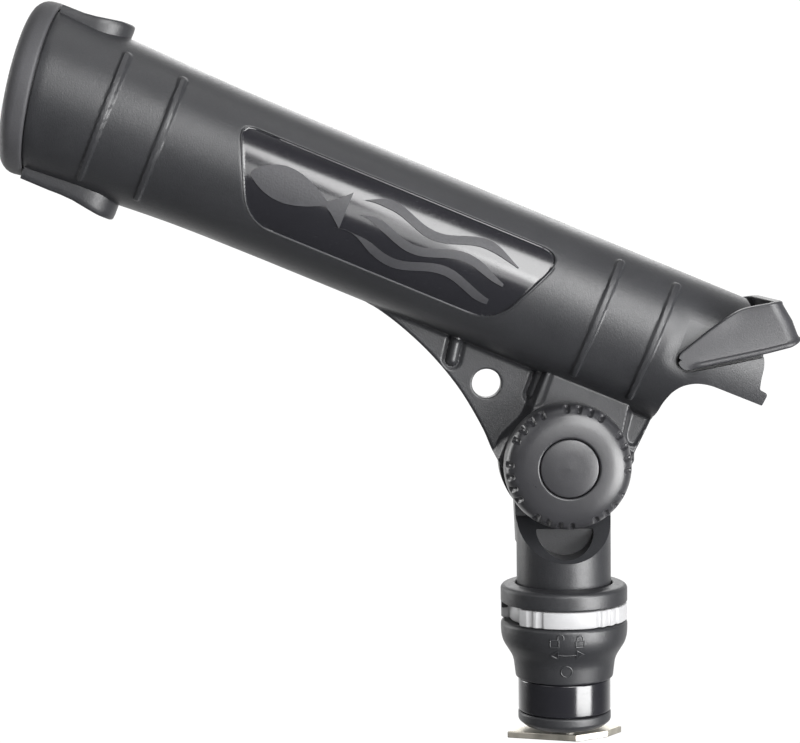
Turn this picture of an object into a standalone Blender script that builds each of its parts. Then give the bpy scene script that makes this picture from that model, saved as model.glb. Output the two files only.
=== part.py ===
"""Adjustable fishing rod holder: flared tube with a turning mouth collar and a butt bail, a toothed tilt joint
closed by a hand knob, and a lift-out post in a bayonet socket that clamps to a T-track."""

import math

import bmesh
import bpy
from mathutils import Matrix, Vector

MM = 0.001

# Tilt joint: the pivot axis runs along Y at this height above the underside of the track nut.
PIVOT_Z = 94.5
TUBE_SLOPE = math.radians(23.0)
FACE_GAP = 0.15
TOOTH_HEIGHT = 1.1
TOOTH_COUNT = 24
NEAR_LUG_RADIUS = 19.0
FAR_LUG_RADIUS = 21.5
LUG_OUTSIDE = 9.6

# Holder, in its own frame: u along the tube towards the butt, y across, w up from the pivot.
TUBE_AXIS_W = 48.8
TUBE_RADIUS = 24.7
MOUTH_TILT = math.radians(8.5)
COLLAR_CENTRE = (-206.6, 48.5)
COLLAR_RADIUS = 29.1
SLOT_HALF_WIDTH = 8.6
FLANGE_HALF_WIDTH = 11.2
TOP_SLOT_END = -189.0
BOTTOM_SLOT_END = -172.5
SIDE_FLAT_Y = 22.0
WEB_HALF_THICKNESS = 3.0
LANYARD_HOLE = (-34.0, 14.2, 4.9)
RIB_STATIONS = (-182.0, -162.5, -10.5, 9.5)

# Butt bail, in a frame at its pegs: s along the arms, t across them.
BAIL_PIVOT = (22.0, 47.4)
BAIL_ANGLE = math.radians(32.6)
BAIL_OUTSIDE_Y = 24.6
BAIL_INSIDE_Y = 22.3
BAIL_LENGTH = 38.0
BAIL_CORNER = 5.0
BAIL_BACK_LEAN = 0.274

# Base column, all about the Z axis.
PLATE_TOP = 2.3
PAD_BOTTOM, PAD_TOP = 4.2, 9.2
SLEEVE_BOTTOM, SLEEVE_TOP = 9.5, 20.6
HOUSING_BOTTOM, HOUSING_TOP = 9.8, 40.3
RING_BOTTOM, RING_TOP = 40.65, 46.25
CAP_BOTTOM, CAP_TOP = 46.6, 53.2
POST_RADIUS = 15.9
COLUMN_RADIUS = 15.7
FLANGE_RADIUS = 21.4
SOCKET_RADIUS = 14.75
PLUG_RADIUS = 14.3

TUBE_SEGMENTS = 40
COLUMN_SEGMENTS = 36

KNOB_RADIUS = 21.1
KNOB_BACK = 11.0
CAP_DISC_RADIUS = 9.55


def clear_scene():
    for item in list(bpy.data.objects):
        bpy.data.objects.remove(item, do_unlink=True)


def material(name, colour, roughness, metallic=0.0):
    made = bpy.data.materials.new(name)
    made.use_nodes = True
    shader = made.node_tree.nodes["Principled BSDF"]
    shader.inputs["Base Color"].default_value = (*colour, 1.0)
    shader.inputs["Roughness"].default_value = roughness
    shader.inputs["Metallic"].default_value = metallic
    made.diffuse_color = (*colour, 1.0)
    return made


def finish(name, mesh, surface=None, smooth_below=40.0):
    """Turns a bmesh in millimetres into an object in metres, with smooth shading below the given edge angle."""
    bmesh.ops.scale(mesh, vec=(MM, MM, MM), verts=mesh.verts)
    bmesh.ops.remove_doubles(mesh, verts=mesh.verts, dist=1e-6)
    bmesh.ops.recalc_face_normals(mesh, faces=mesh.faces)
    for face in mesh.faces:
        face.smooth = True
    for edge in mesh.edges:
        if len(edge.link_faces) == 2:
            edge.smooth = edge.calc_face_angle(0.0) < math.radians(smooth_below)
    data = bpy.data.meshes.new(name)
    mesh.to_mesh(data)
    mesh.free()
    made = bpy.data.objects.new(name, data)
    bpy.context.collection.objects.link(made)
    if surface:
        data.materials.append(surface)
    return made


def as_cutter(item):
    item.hide_render = True
    item.display_type = "WIRE"
    return item


def boolean(target, other, operation="DIFFERENCE"):
    step = target.modifiers.new(other.name, "BOOLEAN")
    step.operation = operation
    step.solver = "EXACT"
    step.object = as_cutter(other)
    return target


def rings_to_mesh(rings, closed_profile):
    """Skins a list of vertex loops. A ring of one point is a pole."""
    mesh = bmesh.new()
    made = [[mesh.verts.new(point) for point in ring] for ring in rings]
    pairs = list(zip(made, made[1:]))
    if closed_profile:
        pairs.append((made[-1], made[0]))
    for first, second in pairs:
        count = max(len(first), len(second))
        for i in range(count):
            j = (i + 1) % count
            corners = []
            for ring, order in ((first, (i, j)), (second, (j, i))):
                for k in order:
                    vert = ring[k % len(ring)]
                    if vert not in corners:
                        corners.append(vert)
            if len(corners) > 2:
                mesh.faces.new(corners)
    return mesh


def lathe(name, profile, surface=None, segments=COLUMN_SEGMENTS, axis="Z", centre=(0.0, 0.0, 0.0), closed=False):
    """Revolves (radius, height) points about an axis through centre."""
    rings = []
    for radius, height in profile:
        if radius == 0.0:
            ring = [Vector((0.0, 0.0, height))]
        else:
            ring = []
            for i in range(segments):
                turn = 2.0 * math.pi * i / segments
                ring.append(Vector((radius * math.cos(turn), radius * math.sin(turn), height)))
        if axis == "Y":
            ring = [Vector((p.x, p.z, -p.y)) for p in ring]
        rings.append([p + Vector(centre) for p in ring])
    return finish(name, rings_to_mesh(rings, closed), surface)


def prism(name, outline, low, high, surface=None, axis="Z", bevel=0.0):
    """Extrudes a closed outline of (a, b) points along Z, or along Y for an outline in X and Z."""
    mesh = bmesh.new()
    place = (lambda a, b, c: (a, c, b)) if axis == "Y" else (lambda a, b, c: (a, b, c))
    bottom = [mesh.verts.new(place(a, b, low)) for a, b in outline]
    top = [mesh.verts.new(place(a, b, high)) for a, b in outline]
    mesh.faces.new(bottom)
    mesh.faces.new(list(reversed(top)))
    for i in range(len(outline)):
        j = (i + 1) % len(outline)
        mesh.faces.new((bottom[j], bottom[i], top[i], top[j]))
    if bevel:
        caps = [f for f in mesh.faces if len(f.verts) == len(outline)]
        edges = {edge for face in caps for edge in face.edges}
        bmesh.ops.bevel(mesh, geom=list(edges), offset=bevel, segments=2, profile=0.5, affect="EDGES")
    return finish(name, mesh, surface)


def cylinder(name, radius, low, high, axis="Y", centre=(0.0, 0.0), segments=32):
    """A plain cylinder along Y at (x, z), or along Z at (x, y)."""
    circle = arc(centre, radius, 0.0, 360.0, segments)[:-1]
    return prism(name, circle, low, high, axis=axis)


def arc(centre, radius, start, end, steps):
    points = []
    for i in range(steps + 1):
        turn = math.radians(start + (end - start) * i / steps)
        points.append((centre[0] + radius * math.cos(turn), centre[1] + radius * math.sin(turn)))
    return points


def star(points, inner, outer):
    """A rounded star: each lobe has a flat tip and each valley a flat floor."""
    outline = []
    for i in range(points):
        for share, radius in ((0.0, outer), (0.3, outer), (0.5, inner), (0.8, inner)):
            turn = 2.0 * math.pi * (i + share) / points
            outline.append((radius * math.cos(turn), radius * math.sin(turn)))
    return outline


def tooth_ring(name, inner, outer, root, tip):
    """A ring of radial teeth standing from y=root to y=tip, on a base that runs 1 mm behind the roots."""
    behind = root + math.copysign(1.0, root - tip)
    steps = TOOTH_COUNT * 2
    rings = []
    for radius, on_face in ((inner, True), (outer, True), (outer, False), (inner, False)):
        ring = []
        for i in range(steps):
            turn = 2.0 * math.pi * i / steps
            depth = behind
            if on_face:
                depth = tip if i % 2 else root
            ring.append(Vector((radius * math.cos(turn), depth, radius * math.sin(turn))))
        rings.append(ring)
    return finish(name, rings_to_mesh(rings, True))


def in_holder(item):
    """Places an object built in (u, y, w) at the pivot, sloped as the tube is."""
    item.location = (0.0, 0.0, PIVOT_Z * MM)
    item.rotation_euler = (0.0, TUBE_SLOPE, 0.0)
    return item


def at_pivot(item):
    item.location = (0.0, 0.0, PIVOT_Z * MM)
    return item


def tube_ring(u, radius, tilt, centre_w, segments):
    """One ring of the tube, its plane leaning forward at the top by tilt."""
    ring = []
    for i in range(segments):
        turn = 2.0 * math.pi * i / segments
        up = radius * math.cos(turn)
        across = radius * math.sin(turn)
        ring.append(Vector((u - up * math.sin(tilt), across, centre_w + up * math.cos(tilt))))
    return ring


def collar_axis_point(along):
    """A point on the collar's own axis, measured from its seam with the tube."""
    u = COLLAR_CENTRE[0] + along * math.cos(MOUTH_TILT)
    w = COLLAR_CENTRE[1] + along * math.sin(MOUTH_TILT)
    return u, w


def tube_rings(outside, spigot, segments):
    """The flared tube: rings are square to the axis at the back and lean with the mouth at the front."""
    rings = []
    for u, radius in outside:
        lean = min(1.0, max(0.0, (-150.0 - u) / 50.0))
        lean = lean * lean * (3.0 - 2.0 * lean)
        centre = TUBE_AXIS_W + lean * (COLLAR_CENTRE[1] - TUBE_AXIS_W)
        rings.append(tube_ring(u, radius, MOUTH_TILT * lean, centre, segments))
    for along, radius in spigot:
        u, w = collar_axis_point(along)
        rings.append(tube_ring(u, radius, MOUTH_TILT, w, segments))
    return rings


def slot_cutter(name, end, top):
    """A slot open at the mouth, with a rounded inner end, through one side of the tube wall."""
    outline = [(-240.0, -SLOT_HALF_WIDTH)]
    outline += arc((end - SLOT_HALF_WIDTH, 0.0), SLOT_HALF_WIDTH, -90.0, 90.0, 10)
    outline += [(-240.0, SLOT_HALF_WIDTH)]
    low, high = (62.0, 90.0) if top else (5.0, 40.0)
    return prism(name, outline, low, high)


def slot_flange(name, end, top):
    """The raised U that lines a slot. It stands higher towards its closed end."""
    centre = end - SLOT_HALF_WIDTH
    start = -209.6 if top else -201.8
    inner = SLOT_HALF_WIDTH - 0.6
    straight = [start + (centre - start) * i / 4 for i in range(4)]
    path = [(u, -1.0) for u in straight]
    path += [(centre + math.sin(math.radians(t)), -math.cos(math.radians(t))) for t in range(0, 181, 15)]
    path += [(u, 1.0) for u in reversed(straight)]
    tip = centre + FLANGE_HALF_WIDTH
    rings = []
    for along, across in path:
        bulge = along - centre if along > centre else 0.0
        base = min(along, centre)
        ring = []
        for reach, outside in ((FLANGE_HALF_WIDTH, True), (FLANGE_HALF_WIDTH, False), (inner, False), (inner, True)):
            u = base + bulge * reach
            share = max(0.0, (u - start) / (tip - start)) ** 1.6
            if top:
                w = 76.9 + 2.7 * share if outside else 73.0
            else:
                w = 19.2 - 2.0 * share if outside else 24.2
            ring.append(Vector((u, across * reach, w)))
        rings.append(ring)
    return finish(name, capped_sweep(rings))


def capped_sweep(rings):
    """Skins loops of equal length and closes both ends, as triangles."""
    mesh = rings_to_mesh(rings, False)
    mesh.verts.ensure_lookup_table()
    count = len(rings[0])
    last = len(mesh.verts) - count
    mesh.faces.new([mesh.verts[i] for i in range(count)])
    mesh.faces.new([mesh.verts[last + i] for i in reversed(range(count))])
    bmesh.ops.triangulate(mesh, faces=mesh.faces)
    return mesh


def side_rib(name, station, radius, side):
    """A raised rib that wraps part of the way round one side of the tube."""
    rings = []
    steps = 8
    for i in range(steps + 1):
        turn = math.radians(-52.0 + 104.0 * i / steps)
        ring = []
        for du, dr in ((-1.25, -0.8), (-0.8, 0.7), (0.8, 0.7), (1.25, -0.8)):
            reach = radius + dr
            ring.append(Vector((station + du, side * reach * math.cos(turn), TUBE_AXIS_W + reach * math.sin(turn))))
        rings.append(ring)
    return finish(name, capped_sweep(rings))


def build_base(nylon, gloss, white, steel, brass):
    hexagon = [(-19.6, -2.5), (3.0, -9.4), (14.3, -3.7), (19.6, 2.5), (-3.0, 9.4), (-14.3, 3.7)]
    plate = prism("track_nut", hexagon, 0.0, PLATE_TOP, steel, bevel=0.35)
    boolean(plate, cylinder("cut_nut_recess", 3.2, 0.8, 5.0, axis="Z", segments=24))

    stud = [(0.0, 1.1), (2.7, 1.1), (2.9, 1.3), (2.9, 2.6), (4.6, 2.6), (4.6, 3.8), (2.9, 3.8), (2.9, 22.0)]
    lathe("clamp_stud", stud + [(2.3, 22.7), (0.0, 22.7)], steel, 24)

    pad = [(5.2, PAD_BOTTOM), (13.0, PAD_BOTTOM), (13.6, 4.4), (15.4, 5.9), (COLUMN_RADIUS, 6.5)]
    pad += [(COLUMN_RADIUS, 8.8), (15.3, PAD_TOP), (5.2, PAD_TOP)]
    lathe("base_pad", pad, nylon, closed=True)

    sleeve = [(12.6, SLEEVE_BOTTOM), (15.3, SLEEVE_BOTTOM), (15.6, 9.9), (15.6, 20.2), (15.3, SLEEVE_TOP)]
    lathe("riser_sleeve", sleeve + [(12.6, SLEEVE_TOP)], gloss, closed=True)

    insert = [(3.2, 10.2), (5.0, 10.2), (5.0, 13.6), (4.6, 14.0), (4.6, 18.0), (5.0, 18.4), (5.0, 22.6), (3.2, 22.6)]
    lathe("threaded_insert", insert, brass, 24, closed=True)

    bell = [(5.3, HOUSING_BOTTOM), (12.3, HOUSING_BOTTOM), (12.3, 20.9), (16.2, 20.9), (16.5, 21.3), (16.9, 24.6)]
    bell += [(17.2, 26.9), (18.0, 28.9), (19.3, 30.9), (20.6, 33.0), (21.2, 35.0), (FLANGE_RADIUS, 37.0)]
    bell += [(FLANGE_RADIUS, 39.7), (20.8, HOUSING_TOP), (16.7, HOUSING_TOP), (16.7, 37.4), (SOCKET_RADIUS, 37.4)]
    bell += [(SOCKET_RADIUS, 34.6), (5.3, 34.6)]
    housing = lathe("base_housing", bell, nylon, closed=True)
    boolean(housing, prism("cut_star_socket", star(8, 11.7, 13.4), 23.6, 36.0))

    # Two wide lobes, each with finger grooves, and two valleys. The cap's stop tab sits in one valley.
    ring_outline = []
    for i in range(180):
        azimuth = 2.0 * i
        from_valley = abs((azimuth + 73.0 + 90.0) % 180.0 - 90.0)
        share = min(1.0, max(0.0, (from_valley - 21.0) / 4.0))
        radius = 18.4 + 2.9 * share * share * (3.0 - 2.0 * share)
        for groove in (-36.0, -26.0, 29.5, 40.5, 51.5):
            away = abs((azimuth - groove + 90.0) % 180.0 - 90.0)
            radius -= 0.55 * max(0.0, 1.0 - (away / 3.2) ** 2)
        turn = math.radians(azimuth - 90.0)
        ring_outline.append((radius * math.cos(turn), radius * math.sin(turn)))
    ring = prism("lock_ring", ring_outline, RING_BOTTOM, RING_TOP, white, bevel=0.5)
    boolean(ring, cylinder("cut_ring_bore", 16.7, 30.0, 60.0, axis="Z", segments=48))

    cap = [(16.35, 50.8), (16.35, 52.9), (16.8, CAP_TOP), (20.2, 52.6), (21.1, 52.1)]
    cap += [(FLANGE_RADIUS, 51.3), (FLANGE_RADIUS, 47.0), (21.0, CAP_BOTTOM), (16.35, CAP_BOTTOM)]
    cap += [(16.35, 38.0), (SOCKET_RADIUS, 38.0), (SOCKET_RADIUS, 50.8)]
    socket = lathe("socket_cap", cap, nylon, closed=True)
    stop = [(-21.2, -1.5), (-19.1, -1.5), (-19.1, 1.5), (-21.2, 1.5)]
    boolean(socket, prism("add_ring_stop", stop, 44.6, 48.5), "UNION")


def build_post(nylon, steel):
    column = [(0.0, 34.9), (13.7, 34.9), (PLUG_RADIUS, 35.6), (PLUG_RADIUS, 51.1), (POST_RADIUS - 0.3, 51.1)]
    column += [(POST_RADIUS, 51.5), (POST_RADIUS, 84.0), (0.0, 84.0)]
    post = lathe("post", column, nylon)
    star_plug = prism("add_star_plug", star(8, 11.3, 13.0), 24.0, 36.0)
    boolean(post, star_plug, "UNION")

    side = math.degrees(math.asin(-14.0 / FAR_LUG_RADIUS))
    lug = [(-POST_RADIUS + 0.2, 66.0), (POST_RADIUS - 0.2, 66.0)]
    lug += arc((0.0, PIVOT_Z), FAR_LUG_RADIUS, side, 180.0 - side, 24)
    boolean(post, prism("add_far_lug", lug, 0.5, LUG_OUTSIDE + 0.4, axis="Y"), "UNION")
    lean = [(-30.0, 49.3), (-FACE_GAP, 75.2), (TOOTH_HEIGHT, 75.2), (TOOTH_HEIGHT, 125.0), (-30.0, 125.0)]
    wedge = prism("cut_half_lap", lean, -30.0, 30.0)
    turn_outline_to_yz(wedge)
    boolean(post, wedge)
    back = prism("cut_post_back", [(10.2, 85.0), (18.0, 74.0), (18.0, 85.0)], -30.0, 30.0)
    turn_outline_to_yz(back)
    boolean(post, back)

    pocket = [(-9.6, 71.6), (-9.6, 70.0)] + arc((0.0, 72.6), 9.9, -165.0, -15.0, 10)[1:-1] + [(9.6, 70.0), (9.6, 71.6)]
    boolean(post, prism("cut_core_pocket", pocket, -20.0, -3.4, axis="Y"))

    teeth = tooth_ring("add_post_teeth", 8.5, 16.5, TOOTH_HEIGHT + 0.3, FACE_GAP)
    at_pivot(teeth)
    boolean(post, teeth, "UNION")
    boolean(post, cylinder("cut_post_bolt_hole", 3.4, -20.0, 20.0, centre=(0.0, PIVOT_Z)))

    head = [(0.0, 16.6), (4.6, 16.6), (5.6, 16.2), (5.6, 13.2), (7.2, 12.8), (7.2, 11.9), (3.0, 11.9), (3.0, -19.6)]
    bolt = lathe("pivot_bolt", head + [(2.5, -20.1), (0.0, -20.1)], steel, 24, axis="Y")
    at_pivot(bolt)
    washer = [(3.4, 10.3), (3.4, 11.6), (8.5, 11.6), (8.5, 10.3)]
    at_pivot(lathe("bolt_washer", washer, steel, 24, axis="Y", closed=True))


def turn_outline_to_yz(item):
    """Turns a prism drawn in X and Y, along Z, into one drawn in Y and Z, along X."""
    for vert in item.data.vertices:
        y, z, x = vert.co
        vert.co = (x, y, z)


def build_holder(nylon, soft):
    outside = [(60.0, TUBE_RADIUS), (-120.0, TUBE_RADIUS), (-140.0, 24.85), (-150.0, 25.05), (-160.0, 25.45)]
    outside += [(-170.0, 25.95), (-180.0, 26.55), (-190.0, 27.2), (-198.0, 27.7)]
    spigot = [(0.35, 28.0), (0.35, 27.3), (-6.4, 27.3), (-6.4, 24.7), (0.0, 24.4), (8.0, 23.9)]
    rings = tube_rings(outside, spigot, TUBE_SEGMENTS)
    bore = [(-185.0, 23.3), (-170.0, 22.4), (-155.0, 21.7), (-135.0, 21.3), (60.0, 20.7)]
    rings += tube_rings(bore, [], TUBE_SEGMENTS)
    tube = finish("tube_body", rings_to_mesh(rings, True), nylon)

    web = [(-84.0, 25.9), (-82.2, 24.2), (-77.6, 23.6), (-72.8, 22.5), (-67.9, 21.1), (-62.9, 19.4), (-57.7, 17.4)]
    web += [(-52.4, 15.0), (-46.8, 12.1), (-41.0, 8.6), (-34.9, 4.2), (-28.3, -1.0), (-23.5, -5.6), (-16.2, -9.9)]
    web += arc((0.0, 0.0), NEAR_LUG_RADIUS, 211.5, 377.0, 18)
    web += [(21.0, 8.2), (21.9, 14.0), (22.9, 22.0), (23.2, 26.3)]
    boolean(tube, prism("add_web", web, -WEB_HALF_THICKNESS, WEB_HALF_THICKNESS, axis="Y"), "UNION")
    block = [(-17.0, 26.6), (-17.2, 8.0)] + arc((0.0, 0.0), NEAR_LUG_RADIUS, 156.0, 385.0, 24)
    block += [(14.6, 20.0), (13.6, 26.6)]
    boolean(tube, prism("add_near_lug", block, -LUG_OUTSIDE, -TOOTH_HEIGHT, axis="Y"), "UNION")
    for index, (u, low) in enumerate(((-49.0, 15.5), (-18.6, 15.0))):
        bar = cylinder(f"add_web_bar_{index}", 1.7, low, 26.2, axis="Z", centre=(u, -WEB_HALF_THICKNESS), segments=12)
        boolean(tube, bar, "UNION")
    for side in (-1.0, 1.0):
        for index, station in enumerate(RIB_STATIONS):
            radius = 26.5 if index == 0 else 25.45 if index == 1 else TUBE_RADIUS
            tag = "near" if side < 0 else "far"
            boolean(tube, side_rib(f"add_rib_{tag}_{index}", station, radius, side), "UNION")
    boolean(tube, slot_flange("add_top_flange", TOP_SLOT_END, True), "UNION")
    boolean(tube, slot_flange("add_bottom_flange", BOTTOM_SLOT_END, False), "UNION")

    boolean(tube, slot_cutter("cut_top_slot", TOP_SLOT_END, True))
    boolean(tube, slot_cutter("cut_bottom_slot", BOTTOM_SLOT_END, False))
    end_cut = [(34.5, 90.0), (34.5, 74.8), (44.2, 58.4), (45.8, 54.8), (46.3, 50.5), (47.3, 47.2), (49.7, 46.9)]
    end_cut += [(50.1, 46.4), (50.0, 42.6), (31.7, 42.4), (27.3, 41.2), (23.8, 38.8), (21.7, 35.6), (20.9, 31.0)]
    end_cut += [(21.3, 27.0), (21.7, 22.0), (21.4, 15.0), (21.6, 10.0), (90.0, 10.0), (90.0, 90.0)]
    boolean(tube, prism("cut_rear_end", end_cut, -40.0, 40.0, axis="Y"))
    hollow = arc((0.0, 0.0), 23.2, 0.0, 360.0, 32)[:-1]
    boolean(tube, prism("cut_far_lug_clear", hollow, -TOOTH_HEIGHT, 14.0, axis="Y"))
    teeth = tooth_ring("add_holder_teeth", 8.5, 16.5, -TOOTH_HEIGHT - 0.3, -FACE_GAP)
    boolean(tube, teeth, "UNION")
    boolean(tube, cylinder("cut_holder_bolt_hole", 3.4, -20.0, 20.0))
    hole_u, hole_w, hole_radius = LANYARD_HOLE
    boolean(tube, cylinder("cut_lanyard_hole", hole_radius, -10.0, 10.0, centre=(hole_u, hole_w), segments=24))
    swing = [(17.6, 80.0), (17.6, 60.5)] + arc(BAIL_PIVOT, 6.4, 150.0, 302.6, 10) + [(63.4, 66.3), (63.4, 80.0)]
    for side, low, high in (("near", -30.0, -SIDE_FLAT_Y), ("far", SIDE_FLAT_Y, 30.0)):
        boolean(tube, prism(f"cut_side_flat_{side}", swing, low, high, axis="Y"))
    boolean(tube, cylinder("cut_peg_holes", 2.6, -30.0, 30.0, centre=BAIL_PIVOT, segments=20))
    panel = [(-141.0, 62.5), (-139.0, 64.0), (-28.5, 64.0), (-27.0, 62.5), (-40.0, 35.5), (-42.0, 34.0)]
    panel += [(-126.0, 34.0), (-128.0, 35.5)]
    for side, low, high in (("near", -30.0, -12.0), ("far", 12.0, 30.0)):
        recess = prism(f"cut_panel_{side}", panel, low, high, axis="Y")
        core = cylinder(f"cut_panel_core_{side}", TUBE_RADIUS - 0.6, -200.0, 20.0, axis="Z", segments=TUBE_SEGMENTS)
        for vert in core.data.vertices:
            x, y, z = vert.co
            vert.co = (z, y, x + TUBE_AXIS_W * MM)
        flip_if_inside_out(core)
        boolean(recess, core)
        boolean(tube, recess)
    in_holder(tube)
    place_cutters_with(tube)

    collar = [(0.0, 27.65), (0.0, COLLAR_RADIUS), (-3.9, COLLAR_RADIUS), (-5.9, 28.4), (-7.4, 27.1), (-8.2, 25.4)]
    collar += [(-8.2, 23.9), (-7.5, 22.9), (-2.6, 22.9), (-2.6, 24.1), (-6.7, 24.35), (-6.7, 27.65)]
    rings = []
    for along, radius in collar:
        u, w = collar_axis_point(along)
        rings.append(tube_ring(u, radius, MOUTH_TILT, w, TUBE_SEGMENTS))
    ring = finish("mouth_collar", rings_to_mesh(rings, True), soft)
    gate = prism("cut_collar_gate", [(-240.0, -SLOT_HALF_WIDTH), (-190.0, -SLOT_HALF_WIDTH),
                                     (-190.0, SLOT_HALF_WIDTH), (-240.0, SLOT_HALF_WIDTH)], 5.0, 40.0)
    for vert in gate.data.vertices:
        x, y, z = vert.co
        vert.co = (x, 50.0 * MM - z, y + COLLAR_CENTRE[1] * MM)
    flip_if_inside_out(gate)
    boolean(ring, gate)
    in_holder(ring)
    place_cutters_with(ring)


def flip_if_inside_out(item):
    mesh = bmesh.new()
    mesh.from_mesh(item.data)
    bmesh.ops.recalc_face_normals(mesh, faces=mesh.faces)
    mesh.to_mesh(item.data)
    mesh.free()


def place_cutters_with(item):
    """Gives the cutters of an object, and the cutters of those cutters, the place of the object they shape."""
    for step in item.modifiers:
        step.object.location = item.location
        step.object.rotation_euler = item.rotation_euler
        place_cutters_with(step.object)


def build_bail(nylon):
    """A U-shaped scoop: two tapering cheeks joined by a back wall that leans forward, on two pegs."""
    inner = BAIL_INSIDE_Y
    outer = BAIL_OUTSIDE_Y
    wall = outer - inner
    back = BAIL_LENGTH - 1.1
    plan = [(-4.0, -outer)]
    plan += arc((back - BAIL_CORNER, BAIL_CORNER - outer), BAIL_CORNER, -90.0, 0.0, 6)
    plan += arc((back - BAIL_CORNER, outer - BAIL_CORNER), BAIL_CORNER, 0.0, 90.0, 6)
    plan += [(-4.0, outer), (-4.0, inner)]
    plan += arc((back - BAIL_CORNER, outer - BAIL_CORNER), BAIL_CORNER - wall, 90.0, 0.0, 6)
    plan += arc((back - BAIL_CORNER, BAIL_CORNER - outer), BAIL_CORNER - wall, 0.0, -90.0, 6)
    plan += [(-4.0, -inner)]
    bail = prism("butt_bail", plan, -12.0, 24.0, nylon)
    for vert in bail.data.vertices:
        if vert.co.x > 0.0:
            vert.co.x -= BAIL_BACK_LEAN * vert.co.z
    cheek = arc((0.0, 0.0), 3.4, 130.0, 250.0, 8) + [(25.5, -2.6), (34.8, -1.9), (36.6, -0.4), (42.0, 4.0)]
    cheek += [(42.0, 13.4), (19.9, 13.3), (14.2, 10.9), (8.2, 8.3)]
    boolean(bail, prism("cut_bail_cheek", cheek, -40.0, 40.0, axis="Y"), "INTERSECT")
    for side, low, high in (("near", -23.0, -20.9), ("far", 20.9, 23.0)):
        boolean(bail, cylinder(f"add_peg_{side}", 2.2, low, high, segments=20), "UNION")
    lift = Matrix.Translation((BAIL_PIVOT[0] * MM, 0.0, BAIL_PIVOT[1] * MM))
    place = Matrix.Translation((0.0, 0.0, PIVOT_Z * MM)) @ Matrix.Rotation(TUBE_SLOPE, 4, "Y") @ lift
    place = place @ Matrix.Rotation(-BAIL_ANGLE, 4, "Y")
    bail.location = place.to_translation()
    bail.rotation_euler = place.to_euler()
    place_cutters_with(bail)


def build_knob(nylon, gloss, steel, brass):
    washer = [(3.4, -9.9), (9.0, -9.9), (9.0, -10.7), (3.4, -10.7)]
    at_pivot(lathe("knob_washer", washer, steel, 24, axis="Y", closed=True))
    profile = [(5.3, 0.0), (12.0, 0.0), (19.8, 0.4), (20.8, 1.4), (KNOB_RADIUS, 4.0), (20.9, 7.2), (20.2, 9.8)]
    profile += [(18.8, 11.9), (16.6, 13.3), (14.0, 14.0), (11.6, 13.9), (9.9, 13.3), (9.9, 10.3), (5.3, 10.3)]
    knob = lathe("tilt_knob", [(r, -KNOB_BACK - h) for r, h in profile], nylon, 42, axis="Y", closed=True)
    dimple_radius = 19.0
    for group in range(6):
        for step in range(4):
            turn = math.radians(10.0 + 60.0 * group + 12.0 * (step - 1.5))
            spot = (dimple_radius * math.cos(turn), dimple_radius * math.sin(turn))
            dimple = cylinder(f"cut_dimple_{group}_{step}", 1.1, -28.0, -KNOB_BACK - 10.6, centre=spot, segments=6)
            boolean(knob, dimple)
    at_pivot(knob)
    place_cutters_with(knob)
    insert = [(3.3, 0.4), (4.95, 0.4), (4.95, 3.4), (4.6, 3.7), (4.6, 6.3), (4.95, 6.6), (4.95, 9.7), (3.3, 9.7)]
    nut = lathe("knob_nut", [(r, -KNOB_BACK - h) for r, h in insert], brass, 24, axis="Y", closed=True)
    at_pivot(nut)
    disc = [(0.0, 10.7), (9.2, 10.7), (CAP_DISC_RADIUS, 11.0), (CAP_DISC_RADIUS, 13.0), (9.2, 13.4), (6.0, 13.9), (0.0, 14.2)]
    at_pivot(lathe("knob_cap", [(r, -KNOB_BACK - h) for r, h in disc], gloss, 36, axis="Y"))


def main():
    clear_scene()
    nylon = material("satin_nylon", (0.035, 0.034, 0.040), 0.45)
    grey = material("grey_nylon", (0.060, 0.060, 0.066), 0.5)
    soft = material("soft_rim", (0.075, 0.075, 0.080), 0.75)
    gloss = material("gloss_nylon", (0.022, 0.022, 0.026), 0.2)
    white = material("white_acetal", (0.80, 0.80, 0.81), 0.4)
    steel = material("stainless_steel", (0.62, 0.60, 0.57), 0.28, 1.0)
    brass = material("brass", (0.70, 0.52, 0.25), 0.35, 1.0)
    build_base(nylon, gloss, white, steel, brass)
    build_post(nylon, steel)
    build_holder(nylon, soft)
    build_bail(grey)
    build_knob(nylon, gloss, steel, brass)


main()
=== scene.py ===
"""Looks of the adjustable rod holder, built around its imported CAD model.

Lengths are in millimetres until a mesh is made.
"""

import math

import bmesh
import bpy
import numpy as np
from mathutils import Matrix, Vector


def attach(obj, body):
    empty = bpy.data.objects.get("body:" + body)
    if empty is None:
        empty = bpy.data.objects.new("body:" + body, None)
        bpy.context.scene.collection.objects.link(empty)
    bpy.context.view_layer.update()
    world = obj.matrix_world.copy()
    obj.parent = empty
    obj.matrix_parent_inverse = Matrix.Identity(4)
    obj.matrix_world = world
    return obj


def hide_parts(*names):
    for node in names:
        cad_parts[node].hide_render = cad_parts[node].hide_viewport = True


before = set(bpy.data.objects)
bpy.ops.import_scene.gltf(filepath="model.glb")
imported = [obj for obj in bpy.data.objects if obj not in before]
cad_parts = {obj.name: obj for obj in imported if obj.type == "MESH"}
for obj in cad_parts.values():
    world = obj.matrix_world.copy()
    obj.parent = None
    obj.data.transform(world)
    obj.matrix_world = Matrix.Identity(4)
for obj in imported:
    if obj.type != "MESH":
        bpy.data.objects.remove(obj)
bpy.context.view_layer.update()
MM = 0.001

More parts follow.
